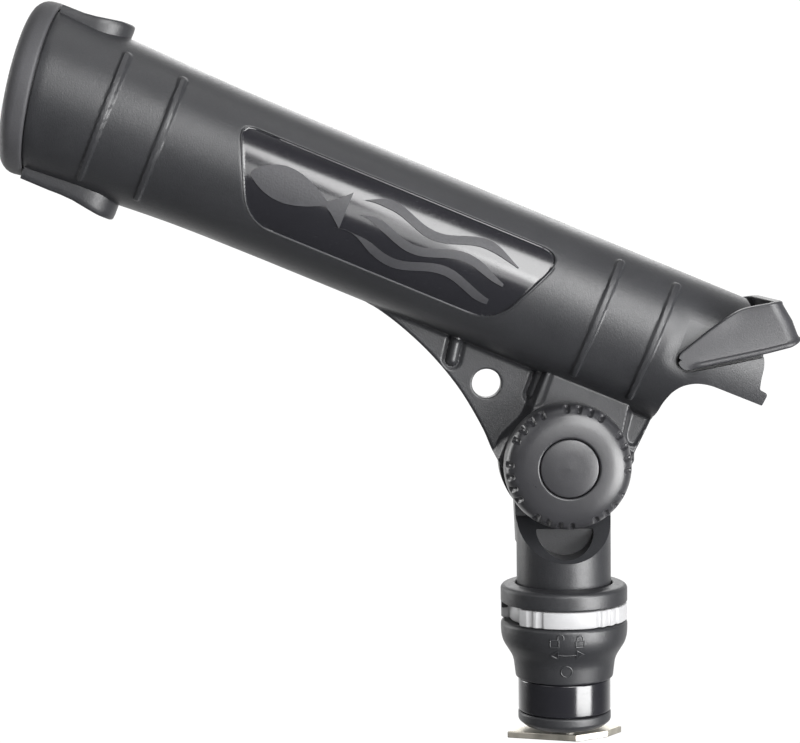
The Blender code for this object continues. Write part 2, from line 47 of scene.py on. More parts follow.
# The holder's own frame: u along the tube towards the butt, y across, w up from the pivot.
PIVOT_Z = 94.5
PIVOT = (0.0, 0.0, PIVOT_Z)
SLOPE = math.radians(23.0)
AXIS_W = 48.8
MOUTH_TILT = math.radians(8.5)
COLLAR_CENTRE = (-206.6, 48.5)
TOP_SLOT_CENTRE = -197.6
BOTTOM_SLOT_CENTRE = -181.1
SLOT_HALF_WIDTH = 8.6
FLANGE_HALF_WIDTH = 11.2
BAIL_PIVOT = (22.0, 47.4)
BAIL_ANGLE = math.radians(32.6)
FLAT_Y = 22.0
LUG_FACE_Y = -1.1
LUG_OUTSIDE_Y = -9.6
TUBE_RADIUS = 24.7
PANEL_DEPTH = 0.60
BAIL_PEG_HOLE = 2.6
BOLT_HOLE = 3.4
LANYARD_HOLE = (-34.0, 14.2)
LANYARD_RADIUS = 4.9
KNOB_BACK = 11.0


# ---------------------------------------------------------------- shapes from numbers

def smooth(low, high, x):
    t = np.clip((np.asarray(x, float) - low) / (high - low), 0.0, 1.0)
    return t * t * (3.0 - 2.0 * t)


def arc(centre, radius, start, end, steps):
    turns = np.radians(np.linspace(start, end, steps + 1))
    return [(centre[0] + radius * math.cos(t), centre[1] + radius * math.sin(t)) for t in turns]


def rounded(points, radius, steps=4, closed=True):
    """The outline with each corner softened. A third number in a point is its own radius."""
    out = []
    count = len(points)
    for i, point in enumerate(points):
        here = np.array(point[:2], float)
        if not closed and i in (0, count - 1):
            out.append(tuple(here))
            continue
        before = np.array(points[i - 1][:2], float) - here
        after = np.array(points[(i + 1) % count][:2], float) - here
        reach = point[2] if len(point) > 2 else radius
        sides = np.linalg.norm(before), np.linalg.norm(after)
        reach = min(reach, 0.48 * sides[0], 0.48 * sides[1])
        if reach < 1e-4:
            out.append(tuple(here))
            continue
        first = here + before / sides[0] * reach
        last = here + after / sides[1] * reach
        for t in np.linspace(0.0, 1.0, steps + 1):
            out.append(tuple((1 - t) ** 2 * first + 2 * t * (1 - t) * here + t * t * last))
    return out


def spline(points, per=6):
    """An open Catmull-Rom curve through the points."""
    p = np.array(points, float)
    p = np.vstack([2 * p[0] - p[1], p, 2 * p[-1] - p[-2]])
    out = []
    for i in range(1, len(p) - 2):
        for t in np.arange(per) / per:
            out.append(tuple(0.5 * (2 * p[i] + (p[i + 1] - p[i - 1]) * t
                                    + (2 * p[i - 1] - 5 * p[i] + 4 * p[i + 1] - p[i + 2]) * t ** 2
                                    + (3 * p[i] - p[i - 1] - 3 * p[i + 1] + p[i + 2]) * t ** 3)))
    out.append(tuple(p[-2]))
    return out


def outline_distance(x, y, outline):
    """Signed distance from points to a closed outline, negative inside."""
    best = np.full(x.shape, 1e9)
    inside = np.zeros(x.shape, bool)
    pts = np.array(outline, float)
    for a, b in zip(pts, np.roll(pts, -1, axis=0)):
        d = b - a
        length = max(float(d @ d), 1e-12)
        t = np.clip(((x - a[0]) * d[0] + (y - a[1]) * d[1]) / length, 0.0, 1.0)
        best = np.minimum(best, np.hypot(x - a[0] - t * d[0], y - a[1] - t * d[1]))
        if a[1] != b[1]:
            crosses = (a[1] > y) != (b[1] > y)
            inside ^= crosses & (x < a[0] + (y - a[1]) * d[0] / d[1])
    return np.where(inside, -best, best)


def rounding(distance, radius):
    """How far a surface drops within radius of its edge, when the edge is rounded."""
    d = np.clip(distance, 0.0, radius)
    return radius - np.sqrt(np.maximum(radius ** 2 - (radius - d) ** 2, 0.0))


# ---------------------------------------------------------------- mesh makers

def mesh_object(name, points, faces, material=None, sharp=38.0, fix_normals=True):
    data = bpy.data.meshes.new(name)
    data.from_pydata((np.asarray(points, float) * MM).tolist(), [], faces)
    if fix_normals:
        work = bmesh.new()
        work.from_mesh(data)
        bmesh.ops.recalc_face_normals(work, faces=work.faces)
        work.to_mesh(data)
        work.free()
    made = bpy.data.objects.new(name, data)
    bpy.context.scene.collection.objects.link(made)
    if material:
        data.materials.append(material)
    shade(made, sharp)
    return made


def shade(item, sharp):
    item.data.polygons.foreach_set("use_smooth", [True] * len(item.data.polygons))
    item.data.set_sharp_from_angle(angle=math.radians(sharp))


def grid_faces(rows, columns, wrap_rows=False, wrap_columns=True):
    r = np.arange(rows if wrap_rows else rows - 1)
    c = np.arange(columns if wrap_columns else columns - 1)
    r, c = np.meshgrid(r, c, indexing="ij")
    nr, nc = (r + 1) % rows, (c + 1) % columns
    quads = np.stack([r * columns + c, r * columns + nc, nr * columns + nc, nr * columns + c], -1)
    return quads.reshape(-1, 4).tolist()


def grid_object(name, points, material, wrap_rows=False, wrap_columns=True, caps=False, sharp=38.0):
    points = np.asarray(points, float)
    rows, columns = points.shape[:2]
    faces = grid_faces(rows, columns, wrap_rows, wrap_columns)
    if caps:
        faces.append(list(range(columns)))
        faces.append([(rows - 1) * columns + c for c in range(columns)])
    return mesh_object(name, points.reshape(-1, 3), faces, material, sharp)


def turned(profile, segments, axis="Z", centre=(0.0, 0.0, 0.0)):
    """Rings of (radius, height) points about an axis through centre, as an array."""
    turn = 2.0 * math.pi * np.arange(segments) / segments
    rows = []
    for radius, height in profile:
        a, b, c = radius * np.cos(turn), radius * np.sin(turn), np.full(segments, float(height))
        rows.append(np.stack([a, c, b] if axis == "Y" else [a, b, c], -1) + np.array(centre))
    return np.array(rows)


def lathe(name, profile, material, segments=160, axis="Z", centre=(0.0, 0.0, 0.0), ring=False, sharp=38.0):
    """ring: the profile closes on itself. Otherwise its two ends are capped, or meet the axis."""
    return grid_object(name, turned(profile, segments, axis, centre), material,
                       wrap_rows=ring, caps=not ring, sharp=sharp)


def prism(name, outline, low, high, material=None, axis="Z", bevel=0.0, sharp=38.0):
    """An outline of (a, b) extruded along Z, or along Y for an outline in X and Z, or along X for one in Y and Z."""
    place = {"Z": lambda a, b, c: (a, b, c), "Y": lambda a, b, c: (a, c, b), "X": lambda a, b, c: (c, a, b)}[axis]
    count = len(outline)
    points = [place(a, b, low) for a, b in outline] + [place(a, b, high) for a, b in outline]
    faces = [list(range(count)), [count + i for i in range(count)]]
    faces += [[i, (i + 1) % count, count + (i + 1) % count, count + i] for i in range(count)]
    made = mesh_object(name, points, faces, material, sharp)
    if bevel:
        work = bmesh.new()
        work.from_mesh(made.data)
        edges = {e for f in work.faces if len(f.verts) == count for e in f.edges}
        bmesh.ops.bevel(work, geom=list(edges), offset=bevel * MM, segments=3, profile=0.5,
                        affect="EDGES", clamp_overlap=True)
        work.to_mesh(made.data)
        work.free()
        shade(made, sharp)
    return made


def disc_outline(centre, radius, steps=64):
    return arc(centre, radius, 0.0, 360.0, steps)[:-1]


def cut(target, *others, operation="DIFFERENCE", sharp=38.0):
    """Applies Booleans at once and deletes the tools."""
    for other in others:
        step = target.modifiers.new("cut", "BOOLEAN")
        step.operation = operation
        step.solver = "EXACT"
        step.object = other
        graph = bpy.context.evaluated_depsgraph_get()
        result = bpy.data.meshes.new_from_object(target.evaluated_get(graph))
        target.modifiers.clear()
        old = target.data
        target.data = result
        bpy.data.meshes.remove(old)
        bpy.data.objects.remove(other, do_unlink=True)
    shade(target, sharp)
    return target


def soften(item, width, angle=40.0, segments=2):
    """A bevel on the edges sharper than angle, with the flat faces kept flat."""
    step = item.modifiers.new("edge_rounding", "BEVEL")
    step.width = width * MM
    step.segments = segments
    step.limit_method = "ANGLE"
    step.angle_limit = math.radians(angle)
    step.harden_normals = True
    step.miter_outer = "MITER_ARC"
    return item


def join(name, items):
    """One mesh object from several."""
    work = bmesh.new()
    for item in items:
        work.from_mesh(item.data)
    data = bpy.data.meshes.new(name)
    work.to_mesh(data)
    work.free()
    made = bpy.data.objects.new(name, data)
    bpy.context.scene.collection.objects.link(made)
    for material in items[0].data.materials:
        data.materials.append(material)
    for item in items:
        bpy.data.objects.remove(item, do_unlink=True)
    shade(made, 38.0)
    return made


def tube_along(points, radius, sides=8):
    """A round bar along 3-D points, as rings."""
    p = np.array(points, float)
    way = np.gradient(p, axis=0)
    way /= np.linalg.norm(way, axis=1)[:, None]
    side = np.cross(way, [0.0, 1.0, 0.0])
    side /= np.linalg.norm(side, axis=1)[:, None]
    up = np.cross(side, way)
    turn = 2.0 * math.pi * np.arange(sides) / sides
    return np.array([p[i] + radius * (np.cos(turn)[:, None] * side[i] + np.sin(turn)[:, None] * up[i])
                     for i in range(len(p))])


def in_holder(item):
    item.data.transform(Matrix.Translation((0.0, 0.0, PIVOT_Z * MM)) @ Matrix.Rotation(SLOPE, 4, "Y"))
    item.data.update()
    return item


def in_bail(item):
    place = Matrix.Translation((BAIL_PIVOT[0] * MM, 0.0, BAIL_PIVOT[1] * MM))
    item.data.transform(place @ Matrix.Rotation(-BAIL_ANGLE, 4, "Y"))
    return in_holder(item)


def give(item, body, slot, *nodes):
    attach(item, body)
    if nodes:
        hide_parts(*nodes)
    return item


# ---------------------------------------------------------------- materials

def noise_texture(tree, vector, scale, detail, rough=0.5):
    node = tree.nodes.new("ShaderNodeTexNoise")
    for key, number in (("Scale", scale), ("Detail", detail), ("Roughness", rough)):
        node.inputs[key].default_value = number
    tree.links.new(vector, node.inputs["Vector"])
    return node.outputs["Fac"]


def stretched_along_z(tree, vector, factor, turn=(0.0, 0.0, 0.0)):
    node = tree.nodes.new("ShaderNodeMapping")
    node.inputs["Scale"].default_value = (1.0, 1.0, factor)
    node.inputs["Rotation"].default_value = turn
    tree.links.new(vector, node.inputs["Vector"])
    return node.outputs["Vector"]


def map_range(tree, value, low, high, to_low, to_high):
    node = tree.nodes.new("ShaderNodeMapRange")
    for key, number in (("From Min", low), ("From Max", high), ("To Min", to_low), ("To Max", to_high)):
        node.inputs[key].default_value = number
    tree.links.new(value, node.inputs["Value"])
    return node.outputs["Result"]


def bumped(tree, height, strength, distance):
    node = tree.nodes.new("ShaderNodeBump")
    node.inputs["Strength"].default_value = strength
    node.inputs["Distance"].default_value = distance
    tree.links.new(height, node.inputs["Height"])
    return node


def plastic(name, colour, roughness, grain=0.0, grain_size=0.45, variation=0.10, specks=0.0, clear=0.0,
            scratches=0.0, specular=0.5):
    """Moulded plastic: a fine raised grain, slow changes of tone and gloss, light specks and rubbed edges."""
    made = bpy.data.materials.new(name)
    made.use_nodes = True
    tree = made.node_tree
    nodes, links = tree.nodes, tree.links
    shader = nodes["Principled BSDF"]
    shader.inputs["Specular IOR Level"].default_value = specular
    shader.inputs["Coat Weight"].default_value = clear
    shader.inputs["Coat Roughness"].default_value = 0.12
    where = nodes.new("ShaderNodeTexCoord").outputs["Object"]

    def noise(size_mm, detail=2.0, rough=0.5):
        return noise_texture(tree, where, 1000.0 / size_mm, detail, rough)

    def remap(value, *limits):
        return map_range(tree, value, *limits)

    def calc(kind, a, b):
        node = nodes.new("ShaderNodeMath")
        node.operation = kind
        for socket, value in zip(node.inputs, (a, b)):
            if isinstance(value, float):
                socket.default_value = value
            else:
                links.new(value, socket)
        return node.outputs[0]

    slow = noise(26.0, 3.0, 0.6)
    fine = noise(grain_size, 2.0, 0.6)
    dust = noise(1.3, 4.0, 0.7)
    tone = calc("MULTIPLY", remap(slow, 0.3, 0.7, 1.0 - variation, 1.0 + variation),
                remap(fine, 0.25, 0.75, 1.0 - 0.8 * variation - specks, 1.0 + 0.8 * variation + specks))
    geometry = nodes.new("ShaderNodeNewGeometry")
    worn = remap(geometry.outputs["Pointiness"], 0.53, 0.62, 0.0, 0.25)
    worn = calc("MULTIPLY", worn, remap(dust, 0.45, 0.7, 0.2, 1.0))
    tone = calc("ADD", tone, worn)
    light_speck = remap(noise(1.9, 1.0, 0.3), 0.76, 0.80, 0.0, 0.35 if specks else 0.0)
    tone = calc("ADD", tone, light_speck)
    paint = nodes.new("ShaderNodeVectorMath")
    paint.operation = "SCALE"
    paint.inputs[0].default_value = colour
    links.new(tone, paint.inputs["Scale"])
    links.new(paint.outputs["Vector"], shader.inputs["Base Color"])

    gloss = remap(slow, 0.3, 0.7, roughness * 0.9, roughness * 1.1)
    gloss = calc("ADD", gloss, remap(dust, 0.3, 0.7, -0.05 * roughness - 0.01, 0.08 * roughness + 0.01))
    if scratches:
        lines = noise_texture(tree, stretched_along_z(tree, where, 14.0, (0.2, 0.4, 0.1)), 330.0, 3.0)
        gloss = calc("ADD", gloss, remap(lines, 0.58, 0.72, 0.0, scratches))
    links.new(gloss, shader.inputs["Roughness"])

    if grain:
        bump = bumped(tree, fine, grain, 0.00007)
        broad = bumped(tree, noise(7.0, 2.0, 0.5), 0.12, 0.0003)
        links.new(bump.outputs["Normal"], broad.inputs["Normal"])
        links.new(broad.outputs["Normal"], shader.inputs["Normal"])
    return made


def metal(name, colour, roughness, brushed=0.12):
    """Machined metal: fine lines, slow changes of gloss and dark residue in patches."""
    made = bpy.data.materials.new(name)
    made.use_nodes = True
    tree = made.node_tree
    nodes, links = tree.nodes, tree.links
    shader = nodes["Principled BSDF"]
    shader.inputs["Metallic"].default_value = 1.0
    where = nodes.new("ShaderNodeTexCoord").outputs["Object"]
    lines = noise_texture(tree, stretched_along_z(tree, where, 9.0), 900.0, 4.0)
    patches = noise_texture(tree, where, 160.0, 5.0)
    gloss = map_range(tree, patches, 0.0, 1.0, roughness - brushed * 0.5, roughness + brushed)
    links.new(gloss, shader.inputs["Roughness"])
    ramp = nodes.new("ShaderNodeValToRGB")
    ramp.color_ramp.elements[0].position = 0.32
    ramp.color_ramp.elements[0].color = (*[c * 0.72 for c in colour], 1.0)
    ramp.color_ramp.elements[1].position = 0.58
    ramp.color_ramp.elements[1].color = (*colour, 1.0)
    links.new(patches, ramp.inputs["Fac"])
    links.new(ramp.outputs["Color"], shader.inputs["Base Color"])
    links.new(bumped(tree, lines, 0.25, 0.00004).outputs["Normal"], shader.inputs["Normal"])
    return made


CHARCOAL = (0.015, 0.0154, 0.0172)
satin = plastic("satin_black_nylon", CHARCOAL, 0.40, grain=0.7, grain_size=0.45, specks=0.16, scratches=0.05)
arm_nylon = plastic("bail_grey_nylon", (0.018, 0.018, 0.0205), 0.46, grain=0.55, grain_size=0.45, specks=0.12)
rim_soft = plastic("soft_rim_rubber", (0.034, 0.034, 0.037), 0.60, grain=0.5, specks=0.08)
glossy = plastic("glossy_black_nylon", (0.009, 0.009, 0.011), 0.17, variation=0.05, scratches=0.10, clear=0.25)
relief = plastic("relief_textured_nylon", (0.020, 0.020, 0.023), 0.55, grain=0.9, grain_size=0.7, specks=0.15)
knob_plastic = plastic("knob_satin_nylon", (0.020, 0.020, 0.022), 0.30, grain=0.25, specks=0.06, scratches=0.05)
acetal = plastic("white_acetal_ring", (0.27, 0.27, 0.275), 0.38, grain=0.1, variation=0.02)
steel = metal("nickel_steel", (0.60, 0.57, 0.50), 0.42)
bolt_steel = metal("stainless_bolt", (0.60, 0.60, 0.60), 0.26)
brass = metal("brass_insert", (0.72, 0.53, 0.26), 0.30)


# ---------------------------------------------------------------- tube shell

def lean_at(u):
    return smooth(-150.0, -200.0, u)


def tube_point(u, radius, angle):
    """A point on a ring of the tube. angle runs from the top over the near side."""
    lean = lean_at(u)
    tilt = MOUTH_TILT * lean
    centre = AXIS_W + lean * (COLLAR_CENTRE[1] - AXIS_W)
    up = radius * np.cos(angle)
    return np.stack([u - up * np.sin(tilt), -radius * np.sin(angle), centre + up * np.cos(tilt)], -1)


def spigot_point(along, radius, angle):
    """A point about the collar's own axis, measured from its seam with the tube."""
    up = radius * np.cos(angle)
    u = COLLAR_CENTRE[0] + along * math.cos(MOUTH_TILT) - up * math.sin(MOUTH_TILT)
    w = COLLAR_CENTRE[1] + along * math.sin(MOUTH_TILT) + up * math.cos(MOUTH_TILT)
    return np.stack([u, -radius * np.sin(angle), w], -1)


def row_places():
    """Positions along the tube, closer together where there is detail."""
    places = []
    u = 57.0
    while u > -204.2:
        places.append(u)
        fine = (-146.0 < u < -122.0) or (-46.0 < u < -22.0) or (4.0 < u < 30.0)
        rib = min(abs(u - s) for s in (-182.0, -162.5, -10.5, 9.5))
        u -= 0.42 if rib < (7.0 if u < -170 else 4.6) else 0.55 if fine else 1.3
    return np.array(places)


def column_angles():
    """Angles round the tube, closer together at the long edges of the two panels."""
    angles = []
    a = 0.0
    while a < 360.0:
        angles.append(a)
        half = a if a < 180.0 else 360.0 - a
        a += 0.5 if abs(half - 53.2) < 2.6 or abs(half - 126.4) < 2.6 else 1.5
    return np.radians(np.array(angles))


PANEL_CORNERS = [(-141.4, 63.6, 6.0), (-127.5, 34.2, 9.0), (-40.8, 34.2, 9.0), (-27.2, 63.6, 9.0)]
PANEL = rounded(PANEL_CORNERS, 5.0, 8)
RIBS = ((-182.1, -1.2), (-162.7, -1.1), (-10.6, 1.0), (9.2, 1.2))


def outer_radius(u):
    stations = [-206.0, -198.0, -190.0, -180.0, -170.0, -160.0, -150.0, -140.0, -120.0, 60.0]
    radii = [28.2, 27.7, 27.2, 26.55, 25.95, 25.45, 25.05, 24.85, TUBE_RADIUS, TUBE_RADIUS]
    fine = np.linspace(-215.0, 60.0, 1101)
    values = np.convolve(np.pad(np.interp(fine, stations, radii), 16, "edge"), np.ones(33) / 33.0, "valid")
    return np.interp(u, fine, values)


def root_dish(u, w):
    """Depth of the soft hollow beside and above the bail's root."""
    outline = [(17.8, 60.0)] + arc(BAIL_PIVOT, 4.2, 180.0, 270.0, 8) + [BAIL_PIVOT, (26.0, 60.0)]
    distance = outline_distance(u, w, outline)
    return 0.7 * smooth(5.0, -0.5, distance) * smooth(66.0, 52.0, w) * smooth(39.5, 45.5, w)


def tube_shell():
    angle = column_angles()
    u = row_places()
    uu, aa = np.meshgrid(u, angle, indexing="ij")
    radius = outer_radius(uu)
    flat = tube_point(uu, radius, aa)
    half = np.where(aa < math.pi, aa, 2.0 * math.pi - aa)
    for station, bow in RIBS:
        middle = radius * (half - math.radians(92.0))
        reach = radius * math.radians(53.5)
        beyond = np.maximum(np.abs(middle) - reach, 0.0)
        curve = station + bow * (middle / reach) ** 2
        offset = np.hypot(flat[..., 0] - curve, beyond)
        wide = 1.55 - 0.25 * np.clip(middle / reach, -1.0, 1.0)
        radius = radius + 0.80 * smooth(wide, 0.42 * wide, offset)
    panel = outline_distance(flat[..., 0], flat[..., 2], PANEL)
    side = smooth(0.45, 0.60, np.abs(np.sin(aa)))
    radius = radius - PANEL_DEPTH * smooth(0.25, -0.25, panel) * side
    mask = smooth(0.05, -0.35, panel) * side
    shape = tube_point(uu, radius, aa)
    shape[..., 1] -= np.sign(shape[..., 1]) * root_dish(shape[..., 0], shape[..., 2]) * side
    rows = list(shape)
    seam = [(0.75, 27.95), (0.5, 27.85), (0.35, 27.6), (0.35, 27.3), (-6.2, 27.3), (-6.2, 27.0), (-6.2, 24.9),
            (-6.2, 24.7), (-3.0, 24.55), (0.0, 24.4), (8.0, 23.9)]
    rows += [spigot_point(along, r, angle) for along, r in seam]
    bore = [(-190.0, 23.5), (-185.0, 23.3), (-177.0, 22.8), (-170.0, 22.4), (-162.0, 22.0), (-155.0, 21.7),
            (-145.0, 21.45), (-135.0, 21.3), (-100.0, 21.1), (-60.0, 20.95), (-20.0, 20.8), (20.0, 20.75),
            (57.0, 20.7)]
    rows += [tube_point(np.full(len(angle), b), r, angle) for b, r in bore]
    rows = np.array(rows)
    shell = grid_object("tube_shell", rows, satin, wrap_rows=True)
    shell.data.materials.append(glossy)
    gloss = np.zeros(rows.shape[:2])
    gloss[:len(u)] = mask
    corners = [gloss, np.roll(gloss, -1, 0), np.roll(gloss, -1, 1), np.roll(np.roll(gloss, -1, 0), -1, 1)]
    inside = (sum(corners) / 4.0 > 0.5).reshape(-1)
    shell.data.polygons.foreach_set("material_index", inside.astype(int))

    def slot_tool(centre, low, high):
        outline = [(-240.0, -SLOT_HALF_WIDTH)]
        outline += arc((centre, 0.0), SLOT_HALF_WIDTH, -90.0, 90.0, 30) + [(-240.0, SLOT_HALF_WIDTH)]
        return prism("tool", outline, low, high)

    rear = rounded([(34.9, 90.0, 0.1), (34.9, 74.3, 0.6), (44.2, 58.4, 3.0), (45.8, 54.8, 2.0), (46.3, 50.5, 1.5),
                    (47.2, 47.2, 0.6), (49.7, 46.9, 0.5), (50.2, 46.2, 0.4), (50.0, 42.6, 0.4), (31.7, 42.4, 4.0),
                    (27.3, 41.2, 3.0), (23.8, 38.8, 3.0), (21.7, 35.6, 3.0), (20.8, 31.0, 3.0), (21.2, 27.0, 2.0),
                    (21.8, 10.0, 0.1), (90.0, 10.0, 0.1), (90.0, 90.0, 0.1)], 0.5, 5)
    arm = [(BAIL_PIVOT[0] + s * math.cos(BAIL_ANGLE) - t * math.sin(BAIL_ANGLE),
            BAIL_PIVOT[1] + s * math.sin(BAIL_ANGLE) + t * math.cos(BAIL_ANGLE))
           for s, t in ((42.0, -3.6), (42.0, 40.0))]
    recess = [(17.8, 80.0)] + arc(BAIL_PIVOT, 4.2, 180.0, 302.6, 24) + arm
    slots = join("tool", [slot_tool(TOP_SLOT_CENTRE, 62.0, 90.0), slot_tool(BOTTOM_SLOT_CENTRE, 5.0, 40.0)])
    recesses = join("tool", [prism("tool", recess, -30.0, -FLAT_Y, axis="Y"),
                             prism("tool", recess, FLAT_Y, 30.0, axis="Y")])
    cut(shell, slots, prism("tool", rear, -40.0, 40.0, axis="Y"), recesses,
        prism("tool", disc_outline(BAIL_PIVOT, BAIL_PEG_HOLE, 32), -30.0, 30.0, axis="Y"))
    return give(in_holder(shell), "holder", "satin_nylon", "tube_body")


def slot_band(name, centre, start, top):
    """The raised lip that lines a slot, a rounded bar along a U."""
    inner = SLOT_HALF_WIDTH - 0.45
    straight = np.linspace(start, centre, 26)[:-1]
    path = [(u, -1.0, 0.0) for u in straight]
    path += [(centre, -math.cos(t), math.sin(t)) for t in np.radians(np.linspace(0.0, 180.0, 41))]
    path += [(u, 1.0, 0.0) for u in straight[::-1]]
    wide = FLANGE_HALF_WIDTH
    if top:
        edge = ([-209.6, -202.2, -198.2, -194.2, -190.3, -186.4], [76.8, 76.9, 77.4, 78.2, 79.1, 79.6])
        inward, buried = -1.0, 73.0
    else:
        edge = ([-201.8, -192.0, -187.9, -183.5, -179.0, -174.3, -170.0], [19.1, 19.0, 19.1, 18.9, 18.2, 17.4, 17.1])
        inward, buried = 1.0, 24.2
    rings = []
    for base, across, bend in path:
        section = []
        for reach, drop in ((wide - 0.1, None), (wide, 2.2), (wide - 0.12, 0.75), (wide - 0.4, 0.25),
                            (wide - 0.85, 0.0), (inner + 0.75, 0.0), (inner + 0.35, 0.15), (inner + 0.08, 0.5),
                            (inner, 0.9), (inner, None)):
            u = base + bend * reach
            w = buried if drop is None else float(np.interp(u, *edge)) + inward * drop
            section.append((u, across * reach, w))
        rings.append(section)
    made = grid_object(name, rings, satin, caps=True)
    return give(in_holder(made), "holder", "satin_nylon")


def panel_rim():
    """The thin raised line round each recessed panel."""
    rims = []
    for side in (-1.0, 1.0):
        outline = rounded(PANEL_CORNERS, 5.0, 10)
        dense = []
        for a, b in zip(outline, outline[1:] + outline[:1]):
            steps = max(1, int(math.dist(a, b) / 1.5))
            dense += [(a[0] + (b[0] - a[0]) * i / steps, a[1] + (b[1] - a[1]) * i / steps) for i in range(steps)]
        points = []
        for u, w in dense:
            r = float(outer_radius(u)) - 0.08
            points.append((u, side * math.sqrt(r ** 2 - (w - AXIS_W) ** 2), w))
        p = np.array(points)
        way = np.roll(p, -1, 0) - np.roll(p, 1, 0)
        way /= np.linalg.norm(way, axis=1)[:, None]
        out = p - np.stack([p[:, 0], np.zeros(len(p)), np.full(len(p), AXIS_W)], -1)
        out /= np.linalg.norm(out, axis=1)[:, None]
        across = np.cross(way, out)
        turn = 2.0 * math.pi * np.arange(8) / 8
        rings = np.array([p[i] + 0.26 * (np.cos(turn)[:, None] * across[i] + np.sin(turn)[:, None] * out[i])
                          for i in range(len(p))])
        rims.append(grid_object("rim", rings, satin, wrap_rows=True))
    return give(in_holder(join("panel_rims", rims)), "holder", "satin_nylon")


def relief_band(low, high, start, end, steps, side, raised=0.38):
    """A raised patch on the panel's floor between two curves of u."""
    floor = TUBE_RADIUS - PANEL_DEPTH
    across = 7
    u = np.linspace(start, end, steps)
    share = np.linspace(0.0, 1.0, across)
    lower, upper = low(u), high(u)
    w = lower[:, None] + (upper - lower)[:, None] * share[None, :]
    uu = np.repeat(u[:, None], across, 1)

    def skin(r):
        return np.stack([uu, side * np.sqrt(r ** 2 - (w - AXIS_W) ** 2), w], -1)

    top, bottom = skin(floor + raised), skin(floor - 0.25)
    rings = np.concatenate([top, bottom[:, ::-1]], axis=1)
    return grid_object("band", rings, relief, caps=True, sharp=30.0)


def panel_relief():
    """A plain fish and rolling waves stand in the panel, with a textured top."""
    parts = []
    for side in (-1.0, 1.0):
        def body_high(u):
            t = np.clip((u + 132.0) / 27.0, 0.0, 1.0)
            return 49.6 + 6.2 * np.sin(math.pi * t ** 0.8) ** 0.9 + 0.15

        def body_low(u):
            t = np.clip((u + 132.0) / 27.0, 0.0, 1.0)
            return 49.6 - 5.0 * np.sin(math.pi * t ** 0.85) ** 0.9 - 0.15

        parts.append(relief_band(body_low, body_high, -131.9, -105.1, 46, side))
        parts.append(relief_band(lambda u: 49.6 - 0.6 - 5.4 * ((u + 106.5) / 7.5) ** 1.3,
                                 lambda u: 49.6 + 0.6 + 6.0 * ((u + 106.5) / 7.5) ** 1.3, -106.5, -99.0, 14, side))
        for index, level in enumerate((55.2, 48.6, 42.0)):
            phase = 0.9 * index

            def crest(u, lift=0.0, level=level, phase=phase):
                fade = smooth(-95.5, -86.0, u) * smooth(-40.5 + 3.0, -52.0, u)
                return level + lift * fade + 2.0 * np.sin((u + 95.0) / 5.4 + phase)

            start = -94.5 - 6.0 * (index == 2)
            parts.append(relief_band(lambda u, f=crest: f(u, -1.45), lambda u, f=crest: f(u, 1.45) + 0.05,
                                     start, -43.5 - 2.5 * index + 3.0, 120, side))
    return give(in_holder(join("panel_relief", parts)), "holder", "satin_nylon")


def collar():
    """The soft mouth ring, a partial turn about its own axis with a gap on the far side."""
    profile = [(0.0, 27.65), (0.0, 28.55), (-0.15, 28.85), (-0.5, 29.05), (-1.0, 29.1), (-3.6, 29.1), (-4.8, 28.9),
               (-5.9, 28.4), (-6.8, 27.7), (-7.5, 26.9), (-7.95, 26.0), (-8.2, 25.2), (-8.2, 24.3), (-8.0, 23.6),
               (-7.7, 23.15), (-7.2, 22.92), (-6.6, 22.88), (-3.0, 22.85), (-2.7, 22.95), (-2.6, 23.2), (-2.6, 24.1),
               (-2.8, 24.2), (-6.7, 24.35), (-6.7, 27.4)]
    half = math.degrees(math.asin(SLOT_HALF_WIDTH / 26.0))
    angle = np.radians(np.linspace(-90.0 + half, 270.0 - half, 240))
    rows = np.array([spigot_point(along, r, angle) for along, r in profile]).transpose(1, 0, 2)
    for row, end in ((0, 1), (1, 1), (-1, -1), (-2, -1)):
        centre = rows[row].mean(axis=0)
        shrink = 0.94 if row in (0, -1) else 1.0
        rows[row] = centre + (rows[row] - centre) * shrink
    ring = grid_object("mouth_ring", rows, rim_soft, caps=True)
    return give(in_holder(ring), "collar", "soft_rim", "mouth_collar")


# ---------------------------------------------------------------- bracket under the tube

